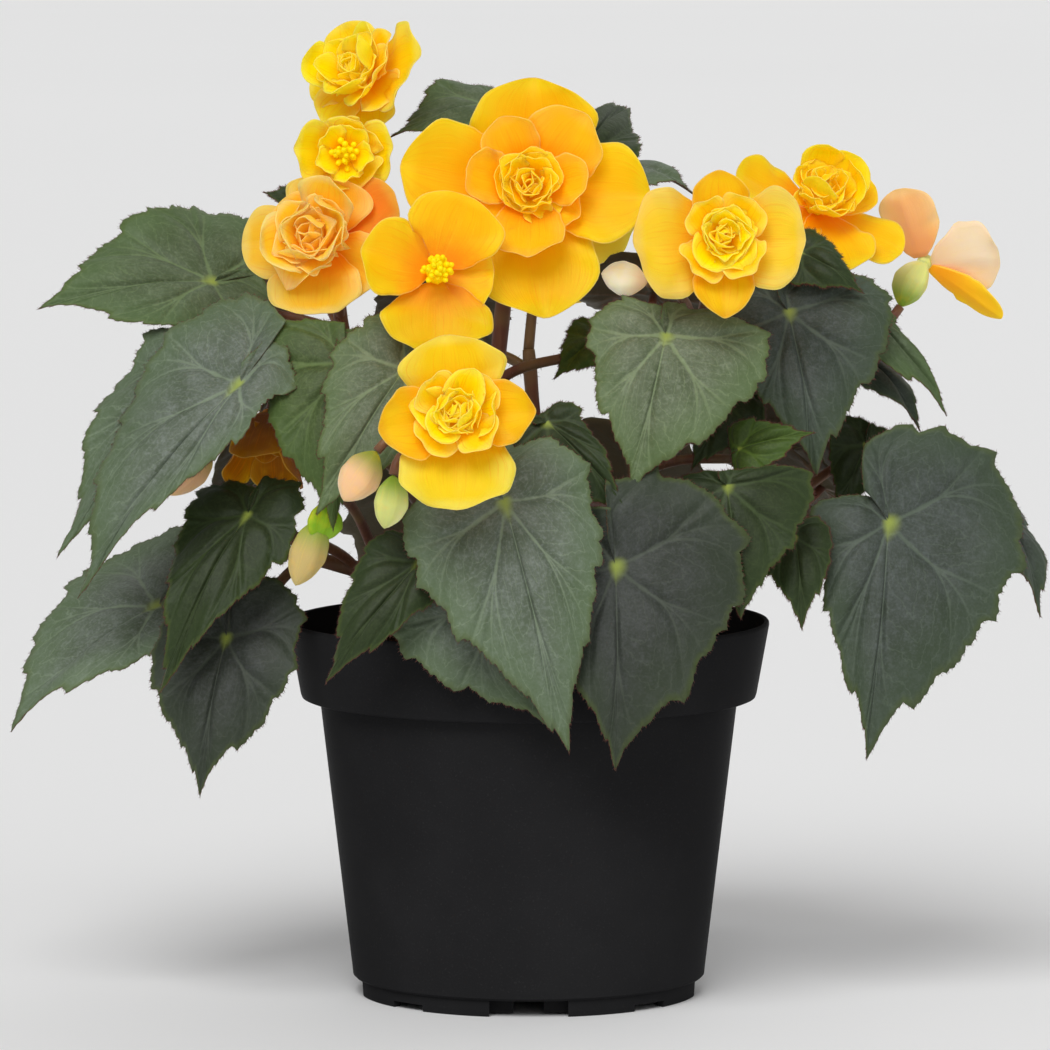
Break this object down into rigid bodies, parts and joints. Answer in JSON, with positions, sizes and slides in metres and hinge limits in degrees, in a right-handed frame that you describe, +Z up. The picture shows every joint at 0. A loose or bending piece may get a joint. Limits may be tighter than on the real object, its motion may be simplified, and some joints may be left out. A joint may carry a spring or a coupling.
{
  "type": "potted begonia",
  "caption": "Tuberous begonia with double orange-yellow blooms, drooping heart-shaped leaves and buds in a round black nursery pot.",
  "frame": {"origin": "on the surface that the pot stands on, under the pot's axis, which is the middle of the part's outline from above", "axes": "+Z up along the pot's axis, +X to the right and -Y towards the viewer in the picture; the plant is widest along X and shallowest along Y"},
  "size_m": [0.278, 0.1982, 0.263],
  "materials": {
    "pot": "satin",
    "soil": "matte",
    "stem": "satin",
    "leaf": "satin",
    "young_leaf": "satin",
    "petal": "satin",
    "salmon_petal": "satin",
    "bud": "satin"
  },
  "bodies": {
    "root": {"pot": "pot", "soil": "soil", "leaf_upper_left": "leaf", "leaf_left_front": "leaf", "leaf_left_back": "leaf", "leaf_lower_left": "leaf", "leaf_hanging_left": "leaf", "leaf_mid_left": "leaf", "leaf_inner_left": "leaf", "leaf_centre_left": "leaf", "leaf_rim_left": "leaf", "leaf_front_long": "leaf", "leaf_front_upper": "leaf", "leaf_front_right": "leaf", "leaf_front_low": "leaf", "leaf_centre_right": "leaf", "leaf_right_dark": "leaf", "leaf_right_arch": "leaf", "leaf_right_arch_low": "leaf", "leaf_right_top": "leaf", "leaf_right_mid": "leaf", "leaf_right_big": "leaf", "leaf_far_right": "leaf", "leaf_rim_right": "leaf", "leaf_inner_right": "leaf", "leaf_young_right": "young_leaf", "leaf_low_right": "leaf", "leaf_top_left": "leaf", "leaf_top_back": "leaf", "leaf_top_right": "leaf", "leaf_top_far_left": "leaf", "leaf_heart": "young_leaf", "leaf_back_1": "leaf", "leaf_back_2": "leaf", "leaf_back_3": "leaf", "leaf_back_4": "leaf", "leaf_back_5": "leaf", "leaf_back_6": "leaf", "leaf_back_7": "leaf", "leaf_back_8": "leaf", "leaf_side_right": "leaf", "leaf_back_low": "leaf", "leaf_top_inner": "leaf", "bloom_top_left": "petal", "bloom_cup": "petal", "bloom_left": "petal", "bloom_single": "petal", "bloom_centre": "petal", "bloom_right": "petal", "bloom_right_back": "petal", "bloom_lower": "petal", "bloom_shaded": "petal", "bloom_back": "petal", "bud_centre": "bud", "bud_left": "bud", "bud_lower": "bud", "bud_ovary": "bud", "bud_low_left": "bud", "bloom_far_right": "salmon_petal", "stems": "stem"}
  },
  "joints": []
}
